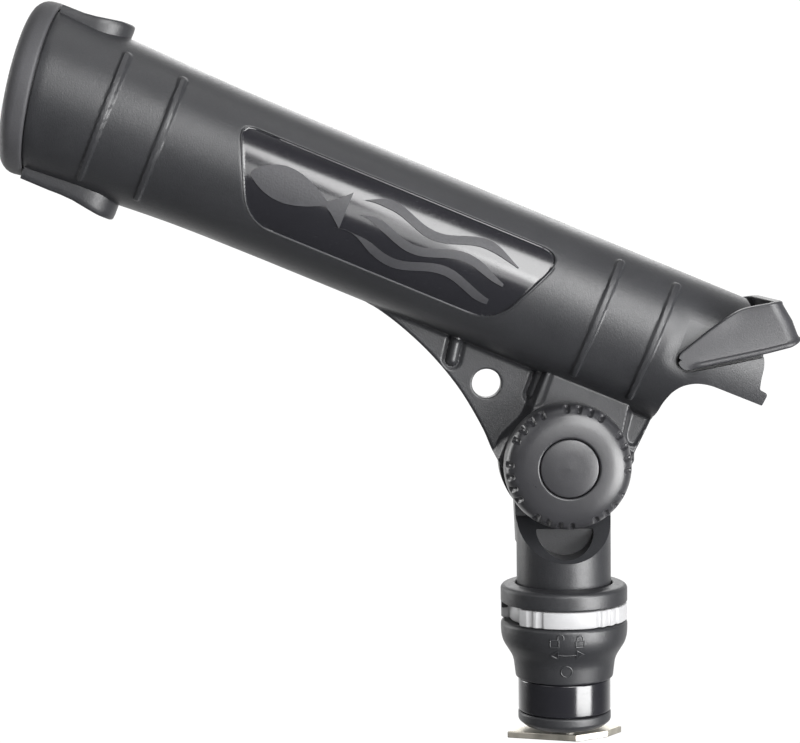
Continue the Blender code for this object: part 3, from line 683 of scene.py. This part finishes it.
def bracket():
    """The web under the tube with its lanyard hole and bars, and the near lug of the tilt joint."""
    left = spline([(-84.5, 25.6), (-82.2, 24.3), (-77.6, 23.6), (-72.8, 22.5), (-67.9, 21.1), (-62.9, 19.4),
                   (-57.7, 17.4), (-52.4, 15.0), (-46.8, 12.1), (-41.0, 8.6), (-34.9, 4.2), (-28.3, -1.2),
                   (-23.5, -5.9), (-18.6, -9.6)], 4)
    outline = left + arc((0.0, 0.0), 19.0, 212.0, 377.0, 60)
    outline += spline([(20.4, 6.6), (20.8, 8.6), (21.2, 14.5), (21.5, 19.0), (21.9, 26.4)], 5)
    block = rounded([(-18.2, 30.0, 0.1), (-18.0, 9.0, 3.0), (-22.0, 0.0, 2.0), (-22.0, -24.0, 0.1),
                     (26.0, -24.0, 0.1), (26.0, 9.5, 0.1), (17.0, 10.6, 2.5), (14.6, 16.5, 2.5), (13.0, 24.8, 0.5),
                     (12.9, 30.0, 0.1)], 1.0)
    pocket = rounded([(14.0, 30.0), (15.9, 15.9), (17.6, 13.4), (20.2, 13.8), (21.4, 24.0), (21.6, 30.0)], 1.0)
    step = 0.32
    u = np.arange(-88.0, 26.0, step)
    w = np.arange(-22.0, 27.2, step)
    uu, ww = np.meshgrid(u, w, indexing="ij")
    edge = -outline_distance(uu, ww, outline)
    hole = np.hypot(uu - LANYARD_HOLE[0], ww - LANYARD_HOLE[1]) - LANYARD_RADIUS
    near_tube = 24.35 - ww

    def bar(top_u, low_u, low_w):
        t = np.clip((ww - low_w) / (25.8 - low_w), 0.0, 1.0)
        centre = low_u + (top_u - low_u) * t
        return np.hypot(uu - centre, np.minimum(ww - low_w, 0.0))

    def thickness(near):
        depth = np.full(uu.shape, 3.0)
        if near:
            depth += (-LUG_OUTSIDE_Y - 3.0) * smooth(1.5, -1.1, outline_distance(uu, ww, block))
            depth -= 1.2 * smooth(0.9, -0.7, outline_distance(uu, ww, pocket))
        for top_u, low_u, low_w in ((-49.3, -47.8, 17.2), (-18.6, -18.1, 16.6)):
            if not near and top_u > -30.0:
                continue
            d = bar(top_u, low_u, low_w)
            depth = np.where(d < 4.0, np.minimum(depth, depth - 0.7 * smooth(3.9, 2.4, d)), depth)
            crown = np.sqrt(np.maximum(1.0 - (d / 2.1) ** 2, 0.0))
            depth = np.maximum(depth, np.where(d < 2.1, 2.1 + 3.1 * crown, 0.0))
        depth -= rounding(edge, 0.8) + rounding(hole, 0.5)
        on_block = smooth(2.5, 0.5, outline_distance(uu, ww, block)) if near else 0.0
        depth += rounding(near_tube, 1.3) * (1.0 - on_block)
        return depth

    near_side = np.stack([uu, -thickness(True), ww], -1)
    far_side = np.stack([uu, thickness(False), ww], -1)
    rows, columns = uu.shape
    count = rows * columns
    faces = grid_faces(rows, columns, wrap_columns=False)
    faces += [[count + i for i in face[::-1]] for face in grid_faces(rows, columns, wrap_columns=False)]
    border = [r * columns for r in range(rows)] + [(rows - 1) * columns + c for c in range(1, columns)]
    border += [r * columns + columns - 1 for r in range(rows - 2, -1, -1)] + list(range(columns - 2, 0, -1))
    faces += [[a, b, count + b, count + a] for a, b in zip(border, border[1:] + border[:1])]
    points = np.concatenate([near_side.reshape(-1, 3), far_side.reshape(-1, 3)])
    made = mesh_object("bracket", points, faces, satin)
    cut(made, prism("tool", outline, -14.0, 14.0, axis="Y"), operation="INTERSECT")
    hollow = prism("tool", disc_outline((0.0, 0.0), 23.2, 96), LUG_FACE_Y, 15.0, axis="Y")
    lanyard = prism("tool", disc_outline(LANYARD_HOLE, LANYARD_RADIUS, 72), -14.0, 14.0, axis="Y")
    cut(made, hollow, lanyard, prism("tool", disc_outline((0.0, 0.0), BOLT_HOLE, 32), -14.0, 14.0, axis="Y"))
    return give(in_holder(made), "holder", "satin_nylon")


def tooth_ring(name, root, tip):
    """Radial teeth round the pivot, standing from y=root to y=tip on a base 1 mm thick."""
    steps = 96
    behind = root + math.copysign(0.9, root - tip)
    turn = 2.0 * math.pi * np.arange(steps) / steps
    level = np.array([root, 0.5 * (root + tip), tip, 0.5 * (root + tip)] * (steps // 4))
    rows = []
    for r, on_face in ((8.5, True), (16.5, True), (16.5, False), (8.5, False)):
        depth = level if on_face else np.full(steps, behind)
        rows.append(np.stack([r * np.cos(turn), depth, r * np.sin(turn)], -1))
    return grid_object(name, rows, satin, wrap_rows=True, sharp=20.0)


# ---------------------------------------------------------------- bail

def bail():
    """A scoop: two tapering cheeks and a back wall that leans forward, swept along a U with rolled edges."""
    outer, wall, corner, back, lean = 24.6, 2.3, 5.0, 36.9, 0.274
    path = []
    straight = np.concatenate([-3.39 + 3.0 * (1.0 - np.cos(np.linspace(0.0, math.pi / 2, 12))),
                               np.linspace(0.0, back - corner, 60)])
    for s in straight:
        path.append((s, -outer, 0.0, -1.0))
    for t in np.radians(np.linspace(0.0, 90.0, 15))[1:]:
        path.append((back - corner + corner * math.sin(t), -outer + corner - corner * math.cos(t),
                     math.sin(t), -math.cos(t)))
    for y in np.linspace(-outer + corner, outer - corner, 30)[1:-1]:
        path.append((back, y, 1.0, 0.0))
    path += [(s, -y, ns, -ny) for s, y, ns, ny in path[:len(straight) + 14][::-1]]
    low_s = [-3.4, -1.2, 0.0, 25.5, 34.0, 36.9]
    low_t = [-3.1, -3.25, -3.3, -2.6, -2.0, -1.2]
    high_s = [-2.2, 3.0, 8.2, 14.2, 17.5, 19.5, 21.5, 24.0, 40.0]
    high_t = [2.6, 5.4, 8.3, 11.2, 12.55, 13.1, 13.35, 13.42, 13.42]
    rings = []
    for s, y, ns, ny in path:
        low = float(np.interp(s, low_s, low_t))
        high = float(np.interp(s, high_s, high_t))
        if s < 2.0:
            bound = math.sqrt(max(3.4 ** 2 - min(s, 0.0) ** 2, 0.02))
            low = max(low, -bound)
            high = min(high, bound) if s < -1.5 else high
        back_share = float(smooth(22.0, 33.0, s))
        lip = 0.9 * float(smooth(-1.0, 4.0, s))
        top_lip = 0.35 * float(smooth(4.0, 12.0, s))
        r = min(0.7, 0.3 * (high - low))
        section = [(0.0, low + r), (0.0, high - r), (0.12, high - 0.4 * r), (0.35, high - 0.1 * r), (0.7, high),
                   (wall - 0.75 + top_lip, high), (wall - 0.25 + top_lip, high - 0.18 * r),
                   (wall + top_lip, high - 0.75 * r), (wall + 0.8 * top_lip, high - 1.3 * r),
                   (wall, high - 2.2 * r), (wall, 0.5 * (low + high) + 0.2),
                   (wall, low + 2.0 + 1.2 * r), (wall + 0.25 * lip, low + 1.9), (wall + 0.75 * lip, low + 1.55),
                   (wall + lip, low + 1.15), (wall + lip, low + 0.55), (wall + 0.75 * lip, low + 0.2),
                   (wall + 0.3 * lip, low + 0.02), (wall - 0.5, low), (0.6, low), (0.25, low + 0.12 * r)]
        ring = []
        for depth, t in section:
            t = min(max(t, low), high)
            inset = wall - depth
            bulge = 0.9 * math.sin(math.pi * (t - low) / (high - low)) - 0.9 * max(0.0, 1.0 - (t - low) / 1.8) ** 2
            ring.append((s - ns * inset + (bulge - lean * t) * back_share, y - ny * inset, t))
        rings.append(ring)
    made = grid_object("bail_scoop", rings, arm_nylon, caps=True)
    pegs = [lathe("peg", [(r, side * y) for r, y in ((0.0, 23.4), (2.2, 23.4), (2.2, 21.3), (1.8, 20.9), (0.0, 20.9))],
                  arm_nylon, 32, axis="Y") for side in (-1.0, 1.0)]
    made = join("butt_scoop", [made] + pegs)
    return give(in_bail(made), "bail", "grey_nylon", "butt_bail")


# ---------------------------------------------------------------- knob

def knob():
    """The hand knob with six groups of four finger dimples, and the plain cap disc in its face."""
    profile = rounded([(5.3, 0.0), (12.0, 0.0), (19.8, 0.4, 0.6), (20.8, 1.4, 0.8), (21.1, 4.0, 1.2),
                       (21.05, 6.8, 1.3), (20.6, 9.2, 1.2), (19.6, 11.2, 1.1), (17.8, 12.65, 1.1),
                       (15.2, 13.5, 1.3), (12.4, 13.85, 1.2), (10.3, 14.0, 0.3),
                       (9.9, 13.65, 0.2), (9.9, 10.3, 0.1), (5.3, 10.3)], 0.1, 5)
    dense = []
    for a, b in zip(profile, profile[1:] + profile[:1]):
        fine = 0.2 if min(a[0], b[0]) > 16.0 and min(a[1], b[1]) > 3.0 else 0.9
        steps = max(1, int(math.ceil(math.dist(a, b) / fine)))
        dense += [(a[0] + (b[0] - a[0]) * i / steps, a[1] + (b[1] - a[1]) * i / steps) for i in range(steps)]
    dense = np.array(dense)
    segments = 640
    turn = 2.0 * math.pi * np.arange(segments) / segments
    way = np.roll(dense, -1, 0) - np.roll(dense, 1, 0)
    way /= np.maximum(np.linalg.norm(way, axis=1)[:, None], 1e-9)
    normal = np.stack([way[:, 1], -way[:, 0]], -1)
    along = np.concatenate([[0.0], np.cumsum(np.linalg.norm(np.diff(dense, axis=0), axis=1))])

    def place(r, h):
        return float(along[np.argmin(np.hypot(dense[:, 0] - r, dense[:, 1] - h))])

    start, end = place(20.4, 9.8), place(18.9, 11.9)
    depth = np.zeros((len(dense), segments))
    for group in range(6):
        for step in range(4):
            middle = math.radians(14.3 + 60.0 * group + 11.8 * (step - 1.5))
            gap = (turn - middle + math.pi) % (2.0 * math.pi) - math.pi
            beyond = np.maximum(np.maximum(start - along, along - end), 0.0)
            far = np.hypot(gap[None, :] * 19.6, beyond[:, None])
            depth = np.maximum(depth, 0.85 * smooth(1.3, 0.15, far))
    radius = dense[:, :1] - normal[:, :1] * depth
    height = dense[:, 1:] - normal[:, 1:] * depth
    rows = np.stack([radius * np.cos(turn), -KNOB_BACK - height, PIVOT_Z + radius * np.sin(turn)], -1)
    body = grid_object("hand_knob", rows, knob_plastic, wrap_rows=True, sharp=50.0)
    give(body, "knob", "satin_nylon", "tilt_knob")
    disc = rounded([(0.0, 10.7), (9.2, 10.7, 0.2), (9.6, 11.0, 0.2), (9.6, 13.2, 0.25), (9.3, 13.5, 0.3),
                    (6.0, 13.95, 2.0), (0.0, 14.2)], 0.2, 4, closed=False)
    cap = lathe("knob_cap_disc", [(r, -KNOB_BACK - h) for r, h in disc], knob_plastic, 160, axis="Y", centre=PIVOT)
    give(cap, "knob", "gloss_nylon", "knob_cap")


# ---------------------------------------------------------------- post and its bolt

def star(points, inner, outer):
    """The toothed outline of the post's plug and of its socket."""
    outline = []
    for i in range(points):
        for share, radius in ((0.0, outer), (0.3, outer), (0.5, inner), (0.8, inner)):
            turn = 2.0 * math.pi * (i + share) / points
            outline.append((radius * math.cos(turn), radius * math.sin(turn)))
    return rounded(outline, 0.8, 4)


def post():
    """The post with its plug, far lug, teeth, bolt and washer."""
    column = rounded([(0.0, 34.9), (13.7, 34.9), (14.3, 35.6), (14.3, 51.1), (15.6, 51.1), (15.9, 51.5), (15.9, 84.0),
                      (0.0, 84.0)], 0.2, 3, closed=False)
    made = lathe("toothed_post", column, satin, 144)
    cut(made, prism("tool", star(8, 11.3, 13.0), 24.0, 36.0, bevel=0.5), operation="UNION")
    side = math.degrees(math.asin(-14.0 / 21.5))
    lug = [(-15.7, 66.0), (15.7, 66.0)] + arc((0.0, PIVOT_Z), 21.5, side, 180.0 - side, 72)
    cut(made, prism("tool", lug, 0.5, 10.0, axis="Y"), operation="UNION")
    lap = [(-30.0, 49.3), (-0.15, 75.2), (1.1, 75.2), (1.1, 125.0), (-30.0, 125.0)]
    back = [(10.2, 85.0), (18.0, 74.0), (18.0, 85.0)]
    pocket = rounded([(-9.6, 71.6, 0.5)] + [(a, b, 0.2) for a, b in arc((0.0, 72.6), 9.9, -165.0, -15.0, 30)]
                     + [(9.6, 71.6, 0.5)], 0.3, 3)
    cut(made, prism("tool", lap, -30.0, 30.0, axis="X"), prism("tool", back, -30.0, 30.0, axis="X"),
        prism("tool", pocket, -20.0, -3.4, axis="Y"),
        prism("tool", disc_outline((0.0, PIVOT_Z), BOLT_HOLE, 32), -20.0, 20.0, axis="Y"))
    soften(made, 0.45, 42.0, 3)
    give(made, "post", "satin_nylon", "post")
    teeth = tooth_ring("post_teeth", 1.2, 0.15)
    teeth.data.transform(Matrix.Translation((0.0, 0.0, PIVOT_Z * MM)))
    give(teeth, "post", "satin_nylon")
    profile = rounded([(0.0, 14.2), (2.6, 14.2), (3.1, 16.6, 0.3), (4.6, 16.6, 0.4), (5.6, 16.0, 0.4),
                       (5.6, 13.2, 0.2), (7.2, 12.8, 0.2), (7.2, 11.9, 0.1), (3.0, 11.9, 0.1), (3.0, -19.6, 0.2),
                       (2.5, -20.1, 0.2), (0.0, -20.1)], 0.2, 3, closed=False)
    head = lathe("button_bolt", profile, bolt_steel, 96, axis="Y", centre=PIVOT)
    give(head, "post", "stainless_steel", "pivot_bolt")
    washer = rounded([(3.4, 10.3), (3.4, 11.6), (8.5, 11.6), (8.5, 10.3)], 0.25, 3)
    plate = lathe("bolt_washer_disc", washer, bolt_steel, 96, axis="Y", centre=PIVOT, ring=True)
    give(plate, "post", "stainless_steel", "bolt_washer")


# ---------------------------------------------------------------- base column

def stroke(points, thickness, radius_at):
    """A thin raised line on the base's outside, through (offset, z) points, offset measured round it."""
    dense = []
    for a, b in zip(points, points[1:]):
        steps = max(1, int(math.dist(a, b) / 0.35))
        dense += [(a[0] + (b[0] - a[0]) * i / steps, a[1] + (b[1] - a[1]) * i / steps) for i in range(steps)]
    dense.append(points[-1])
    path = []
    for offset, z in dense:
        r = float(radius_at(z)) + 0.05
        turn = offset / r
        path.append((r * math.sin(turn), -r * math.cos(turn), z))
    return grid_object("stroke", tube_along(path, thickness), satin, caps=True, sharp=180.0)


def base():
    """The bell-shaped housing with its raised usage icons, the glossy sleeve, the socket's cap and the lower ring."""
    bell = rounded([(5.3, 9.8), (12.3, 9.8), (12.3, 20.9), (16.2, 20.9, 0.2), (16.5, 21.3, 0.2), (16.9, 24.6, 3.0),
                    (17.2, 26.9, 2.5), (18.0, 28.9, 2.5), (19.3, 30.9, 2.5), (20.6, 33.0, 2.5), (21.2, 35.0, 1.5),
                    (21.4, 37.0, 1.2), (21.4, 39.5, 0.8), (20.7, 40.3, 0.5), (16.7, 40.3, 0.2), (16.7, 37.4, 0.1),
                    (14.75, 37.4, 0.1), (14.75, 34.6, 0.1), (5.3, 34.6, 0.1)], 0.2, 5)
    housing = lathe("base_bell", bell, satin, 200, ring=True)
    cut(housing, prism("tool", star(8, 11.7, 13.4), 23.6, 36.0))
    give(housing, "base", "satin_nylon", "base_housing")

    outside = np.array([(16.5, 21.3), (16.9, 24.6), (17.2, 26.9), (18.0, 28.9), (19.3, 30.9), (20.6, 33.0),
                        (21.2, 35.0), (21.4, 37.0), (21.4, 41.0)])

    def radius_at(z):
        return np.interp(z, outside[:, 1], outside[:, 0])

    def box(x, z, wide, tall):
        return [(x, z), (x + wide, z), (x + wide, z + tall), (x, z + tall), (x, z)]

    def shackle(x, z, half, leg):
        return [(x - half, z), (x - half, z + leg)] + arc((x, z + leg), half, 180.0, 0.0, 10)[1:] + [(x + half, z)]

    lines = [box(-6.6, 34.7, 2.9, 2.4), box(1.9, 34.7, 2.9, 2.2), shackle(3.35, 36.9, 0.95, 0.9),
             [(-4.1, 37.1), (-4.1, 38.0)] + arc((-3.1, 38.0), 1.0, 180.0, 0.0, 10)[1:] + [(-2.1, 37.3)]]
    head = [(-3.9, 33.3), (-6.4, 31.8), (-3.9, 30.5), (-3.9, 33.3)]
    lines += [head, [(-a - 1.6, z + 0.2) for a, z in head]]
    lines += [[(x - 0.8, 31.9 - 0.054 * (4.0 - abs(x)) ** 1.2) for x in np.linspace(-3.0, 3.0, 13)]]
    lines += [[(x - 0.8, z) for x, z in arc((0.0, 25.7), 1.85, 0.0, 360.0, 28)]]
    marks = join("base_icons", [stroke(line, 0.24, radius_at) for line in lines])
    give(marks, "base", "satin_nylon")

    sleeve = rounded([(12.6, 9.5), (15.3, 9.5), (15.6, 9.9), (15.6, 20.2), (15.3, 20.6), (12.6, 20.6)], 0.2, 4)
    give(lathe("riser_sleeve_tube", sleeve, glossy, 200, ring=True), "base", "gloss_nylon", "riser_sleeve")

    cap = rounded([(16.35, 50.8), (16.35, 52.7, 0.2), (16.8, 53.1, 0.3), (20.4, 52.5, 1.0), (21.4, 51.6, 0.8),
                   (21.4, 46.9, 0.3), (21.0, 46.6, 0.2), (16.35, 46.6, 0.1), (16.35, 38.0, 0.2), (14.75, 38.0, 0.2),
                   (14.75, 50.8, 0.2)], 0.3, 4)
    socket = lathe("bayonet_cap", cap, satin, 200, ring=True)
    tab = rounded([(-21.25, -1.6), (-19.1, -1.6), (-19.1, 1.6), (-21.25, 1.6)], 0.4, 4)
    foot = prism("foot", tab, 44.6, 47.6, satin, bevel=0.25)
    give(join("socket_cap_ring", [socket, foot]), "base", "satin_nylon", "socket_cap")

    pad = rounded([(5.2, 4.2), (13.0, 4.2, 0.2), (13.7, 4.5, 0.3), (15.4, 5.9, 0.4), (15.7, 6.5, 0.4),
                   (15.7, 8.8, 0.3), (15.3, 9.2, 0.2), (5.2, 9.2)], 0.2, 4)
    give(lathe("pad_ring", pad, satin, 200, ring=True), "pad", "satin_nylon", "base_pad")


def lock_ring():
    """The white ring: two wide lobes with finger grooves, and two valleys that clear the cap's stop tab."""
    steps = 720
    azimuth = 360.0 * np.arange(steps) / steps
    from_valley = np.abs((azimuth + 73.0 + 90.0) % 180.0 - 90.0)
    outer = 18.4 + 2.9 * smooth(21.5, 24.0, from_valley)
    for groove in (-36.0, -26.0, 29.5, 40.5, 51.5):
        away = (azimuth - groove + 90.0) % 180.0 - 90.0
        outer -= 0.6 * np.clip(1.0 - (np.where(away > 0.0, away / 2.2, away / 5.0)) ** 2, 0.0, 1.0)
    turn = np.radians(azimuth - 90.0)
    rows = []
    low, high = 40.65, 46.25
    for inset, z in ((None, low), (0.5, low), (0.15, low + 0.15), (0.0, low + 0.5), (0.0, high - 0.5),
                     (0.15, high - 0.15), (0.5, high), (None, high)):
        r = np.full(steps, 16.7) if inset is None else outer - inset
        rows.append(np.stack([r * np.cos(turn), r * np.sin(turn), np.full(steps, z)], -1))
    made = grid_object("lock_ring_white", rows, acetal, wrap_rows=True, sharp=50.0)
    return give(made, "lock_ring", "white_acetal", "lock_ring")


# ---------------------------------------------------------------- build

tube_shell()
slot_band("top_slot_band", TOP_SLOT_CENTRE, -209.6, True)
slot_band("bottom_slot_band", BOTTOM_SLOT_CENTRE, -201.8, False)
panel_rim()
panel_relief()
collar()
bracket()
give(in_holder(tooth_ring("holder_teeth", -1.2, -0.15)), "holder", "satin_nylon")
bail()
knob()
post()
base()
lock_ring()

kept = {"track_nut": steel, "clamp_stud": bolt_steel, "threaded_insert": brass, "knob_nut": brass,
        "knob_washer": bolt_steel}
for node, surface in kept.items():
    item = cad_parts[node]
    item.data.materials.clear()
    item.data.materials.append(surface)

# ---------------------------------------------------------------- stage, light and camera

SEEN_WHITE = 1.05


def camera_sees(tree, lighting, seen, output):
    """Camera rays see one shader, and every other ray the other."""
    ray = tree.nodes.new("ShaderNodeLightPath")
    mix = tree.nodes.new("ShaderNodeMixShader")
    seen.inputs["Strength"].default_value = SEEN_WHITE
    tree.links.new(ray.outputs["Is Camera Ray"], mix.inputs["Fac"])
    tree.links.new(lighting, mix.inputs[1])
    tree.links.new(seen.outputs[0], mix.inputs[2])
    tree.links.new(mix.outputs["Shader"], tree.nodes[output].inputs["Surface"])


floor_shader = bpy.data.materials.new("pale_floor")
floor_shader.use_nodes = True
floor_tree = floor_shader.node_tree
floor_node = floor_tree.nodes["Principled BSDF"]
floor_node.inputs["Base Color"].default_value = (0.62, 0.62, 0.62, 1.0)
floor_node.inputs["Roughness"].default_value = 0.9
camera_sees(floor_tree, floor_node.outputs["BSDF"], floor_tree.nodes.new("ShaderNodeEmission"), "Material Output")
floor = mesh_object("floor", [(x * 5000.0, y * 5000.0, -0.4) for x, y in arc((0.0, 0.0), 1.0, 0.0, 360.0, 64)[:-1]],
                    [list(range(64))], floor_shader, fix_normals=False)
floor.visible_glossy = False
floor.visible_shadow = False


CENTRE = Vector((-0.03, 0.0, 0.13))


def softbox(name, azimuth, elevation, distance, size, radiance):
    """A soft light round the object. Azimuth 0 is the camera's side and grows to the right."""
    a, e = math.radians(azimuth), math.radians(elevation)
    way = Vector((math.sin(a) * math.cos(e), -math.cos(a) * math.cos(e), math.sin(e)))
    lamp = bpy.data.lights.new(name, "AREA")
    lamp.shape = "RECTANGLE"
    lamp.size, lamp.size_y = size
    lamp.energy = radiance * size[0] * size[1] * math.pi
    made = bpy.data.objects.new(name, lamp)
    made.location = CENTRE + way * distance
    made.rotation_euler = (-way).to_track_quat("-Z", "Y").to_euler()
    bpy.context.scene.collection.objects.link(made)


softbox("right_window", 26.0, 26.0, 1.0, (0.62, 0.60), 12.0)
softbox("right_strip", 46.0, -10.0, 1.0, (0.66, 0.50), 19.0)
softbox("front_panel", 6.0, 10.0, 1.3, (0.60, 0.40), 4.5)
softbox("left_rim", -122.0, 8.0, 1.0, (0.35, 0.80), 5.0)
softbox("left_fill", -50.0, 30.0, 1.3, (0.7, 0.7), 1.6)
softbox("overhead", 60.0, 80.0, 1.1, (0.9, 0.5), 1.8)
softbox("back_fill", 175.0, 28.0, 1.3, (0.9, 0.6), 3.0)

world = bpy.data.worlds.new("studio")
bpy.context.scene.world = world
world.use_nodes = True
tree = world.node_tree
background = tree.nodes["Background"]
background.inputs["Color"].default_value = (1.0, 1.0, 1.0, 1.0)
direction = tree.nodes.new("ShaderNodeTexCoord")
parts = tree.nodes.new("ShaderNodeSeparateXYZ")
backdrop = tree.nodes.new("ShaderNodeMapRange")
backdrop.interpolation_type = "SMOOTHSTEP"
for key, number in (("From Min", 0.10), ("From Max", 0.95), ("To Min", 0.10), ("To Max", 1.0)):
    backdrop.inputs[key].default_value = number
tree.links.new(direction.outputs["Generated"], parts.inputs["Vector"])
tree.links.new(parts.outputs["Y"], backdrop.inputs["Value"])
tree.links.new(backdrop.outputs["Result"], background.inputs["Strength"])
seen_sky = tree.nodes.new("ShaderNodeBackground")
seen_sky.inputs["Color"].default_value = (1.0, 1.0, 1.0, 1.0)
camera_sees(tree, background.outputs["Background"], seen_sky, "World Output")
bpy.context.scene.view_settings.view_transform = "Standard"

lens = bpy.data.cameras.new("camera")
lens.sensor_width = 36.0
lens.lens = 93.9
lens.clip_start = 0.01
lens.clip_end = 30.0
camera = bpy.data.objects.new("camera", lens)
right = Vector((0.99982414, -0.01441901, -0.01199075))
up = Vector((0.01310187, 0.07961074, 0.99673992))
forward = Vector((0.01341741, 0.99672174, -0.07978566))
place = Matrix((right, up, -forward)).transposed().to_4x4()
place.translation = Vector((-0.064, -0.698, 0.1809))
camera.matrix_world = place
bpy.context.scene.collection.objects.link(camera)
bpy.context.scene.camera = camera
